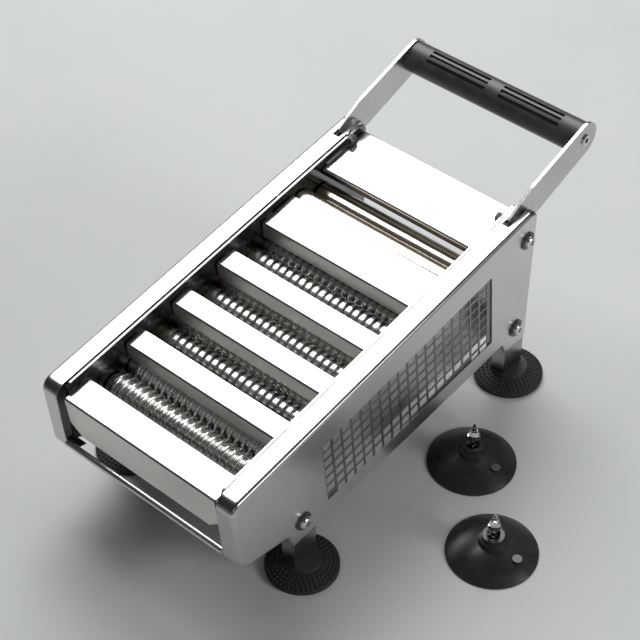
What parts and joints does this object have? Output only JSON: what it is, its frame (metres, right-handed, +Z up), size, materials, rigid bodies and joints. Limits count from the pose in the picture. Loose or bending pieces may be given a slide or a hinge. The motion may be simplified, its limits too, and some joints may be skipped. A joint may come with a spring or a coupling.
{
  "type": "pasta roller machine",
  "caption": "Sloping steel table-top pasta machine with smooth rolling and cutting rollers under folded covers, folding carrying handle, rubber feet and loose suction cups.",
  "frame": {"origin": "on the worktop, midway between the four rubber feet", "axes": "+X to the right seen from the low front, +Y towards the handle at the rear, +Z up"},
  "size_m": [0.367, 0.4642, 0.223],
  "materials": {
    "body_steel": "satin",
    "mirror_steel": "polished",
    "roller_steel": "polished",
    "bush_brass": "machined",
    "gear_steel": "machined",
    "foot_rubber": "matte",
    "grip_plastic": "satin",
    "cup_rubber": "glossy",
    "plug_clear": "clear"
  },
  "bodies": {
    "frame": {"left_side_cover": "body_steel", "right_side_cover": "body_steel", "right_grille": "body_steel", "left_inner_plate": "body_steel", "right_inner_plate": "body_steel", "front_cover": "mirror_steel", "cutter_cover_1": "mirror_steel", "cutter_cover_2": "mirror_steel", "cutter_cover_3": "mirror_steel", "feed_cover": "mirror_steel", "rear_cover": "mirror_steel", "cross_bars": "body_steel", "front_guard_rod": "body_steel", "lower_tie_rods": "body_steel", "front_left_leg": "body_steel", "front_right_leg": "body_steel", "rear_left_leg": "body_steel", "rear_right_leg": "body_steel", "front_left_foot": "foot_rubber", "front_right_foot": "foot_rubber", "rear_left_foot": "foot_rubber", "rear_right_foot": "foot_rubber", "side_bolts": "body_steel", "side_washers": "body_steel", "leg_spacers": "body_steel", "lock_nuts": "body_steel", "pivot_sleeves": "body_steel", "stop_bolts": "body_steel", "roller_bushes": "bush_brass", "stripper_combs": "body_steel"},
    "handle": {"left_handle_arm": "body_steel", "right_handle_arm": "body_steel", "handle_grip": "grip_plastic", "grip_rod": "body_steel"},
    "round_cutter_front_unit": {"round_cutter_front": "roller_steel", "round_cutter_front_gear": "gear_steel"},
    "round_cutter_rear_unit": {"round_cutter_rear": "roller_steel", "round_cutter_rear_gear": "gear_steel"},
    "flat_cutter_1_front_unit": {"flat_cutter_1_front": "roller_steel", "flat_cutter_1_front_gear": "gear_steel"},
    "flat_cutter_1_rear_unit": {"flat_cutter_1_rear": "roller_steel", "flat_cutter_1_rear_gear": "gear_steel"},
    "flat_cutter_2_front_unit": {"flat_cutter_2_front": "roller_steel", "flat_cutter_2_front_gear": "gear_steel"},
    "flat_cutter_2_rear_unit": {"flat_cutter_2_rear": "roller_steel", "flat_cutter_2_rear_gear": "gear_steel"},
    "flat_cutter_3_front_unit": {"flat_cutter_3_front": "roller_steel", "flat_cutter_3_front_gear": "gear_steel"},
    "flat_cutter_3_rear_unit": {"flat_cutter_3_rear": "roller_steel", "flat_cutter_3_rear_gear": "gear_steel"},
    "smooth_roller_front_unit": {"smooth_roller_front": "roller_steel", "smooth_roller_front_gear": "gear_steel"},
    "smooth_roller_rear_unit": {"smooth_roller_rear": "roller_steel", "smooth_roller_rear_gear": "gear_steel"},
    "cup_1": {"suction_cup_1": "cup_rubber", "cup_plug_1": "plug_clear"},
    "cup_2": {"suction_cup_2": "cup_rubber", "cup_plug_2": "plug_clear"}
  },
  "joints": [
    {"name": "handle_fold", "type": "hinge", "parent": "frame", "child": "handle", "pos_m": [0, 0.14, 0.16], "axis": [-1, 0, 0], "range_deg": [0, 90]},
    {"name": "round_cutter_front_spin", "type": "hinge", "parent": "frame", "child": "round_cutter_front_unit", "pos_m": [0, -0.16406, 0.11053], "axis": [1, 0, 0], "continuous": true},
    {"name": "round_cutter_rear_spin", "type": "hinge", "parent": "frame", "child": "round_cutter_rear_unit", "pos_m": [0, -0.13822, 0.11341], "axis": [1, 0, 0], "continuous": true},
    {"name": "flat_cutter_1_front_spin", "type": "hinge", "parent": "frame", "child": "flat_cutter_1_front_unit", "pos_m": [0, -0.10564, 0.11805], "axis": [1, 0, 0], "continuous": true},
    {"name": "flat_cutter_1_rear_spin", "type": "hinge", "parent": "frame", "child": "flat_cutter_1_rear_unit", "pos_m": [0, -0.08377, 0.12048], "axis": [1, 0, 0], "continuous": true},
    {"name": "flat_cutter_2_front_spin", "type": "hinge", "parent": "frame", "child": "flat_cutter_2_front_unit", "pos_m": [0, -0.05286, 0.12393], "axis": [1, 0, 0], "continuous": true},
    {"name": "flat_cutter_2_rear_spin", "type": "hinge", "parent": "frame", "child": "flat_cutter_2_rear_unit", "pos_m": [0, -0.031, 0.12637], "axis": [1, 0, 0], "continuous": true},
    {"name": "flat_cutter_3_front_spin", "type": "hinge", "parent": "frame", "child": "flat_cutter_3_front_unit", "pos_m": [0, -0.00009, 0.12981], "axis": [1, 0, 0], "continuous": true},
    {"name": "flat_cutter_3_rear_spin", "type": "hinge", "parent": "frame", "child": "flat_cutter_3_rear_unit", "pos_m": [0, 0.02177, 0.13225], "axis": [1, 0, 0], "continuous": true},
    {"name": "smooth_roller_front_spin", "type": "hinge", "parent": "frame", "child": "smooth_roller_front_unit", "pos_m": [0, 0.06172, 0.15028], "axis": [1, 0, 0], "continuous": true},
    {"name": "smooth_roller_rear_spin", "type": "hinge", "parent": "frame", "child": "smooth_roller_rear_unit", "pos_m": [0, 0.0898, 0.13971], "axis": [1, 0, 0], "continuous": true},
    {"name": "cup_1_lift", "type": "slide", "parent": "frame", "child": "cup_1", "axis": [0, 0, 1], "range_m": [0, 0.04]},
    {"name": "cup_2_lift", "type": "slide", "parent": "frame", "child": "cup_2", "axis": [0, 0, 1], "range_m": [0, 0.1]}
  ],
  "couplings": [
    {"joint": "round_cutter_rear_spin", "follows": "round_cutter_front_spin", "ratio": -1},
    {"joint": "flat_cutter_1_rear_spin", "follows": "flat_cutter_1_front_spin", "ratio": -1},
    {"joint": "flat_cutter_2_rear_spin", "follows": "flat_cutter_2_front_spin", "ratio": -1},
    {"joint": "flat_cutter_3_rear_spin", "follows": "flat_cutter_3_front_spin", "ratio": -1},
    {"joint": "smooth_roller_rear_spin", "follows": "smooth_roller_front_spin", "ratio": -1}
  ]
}
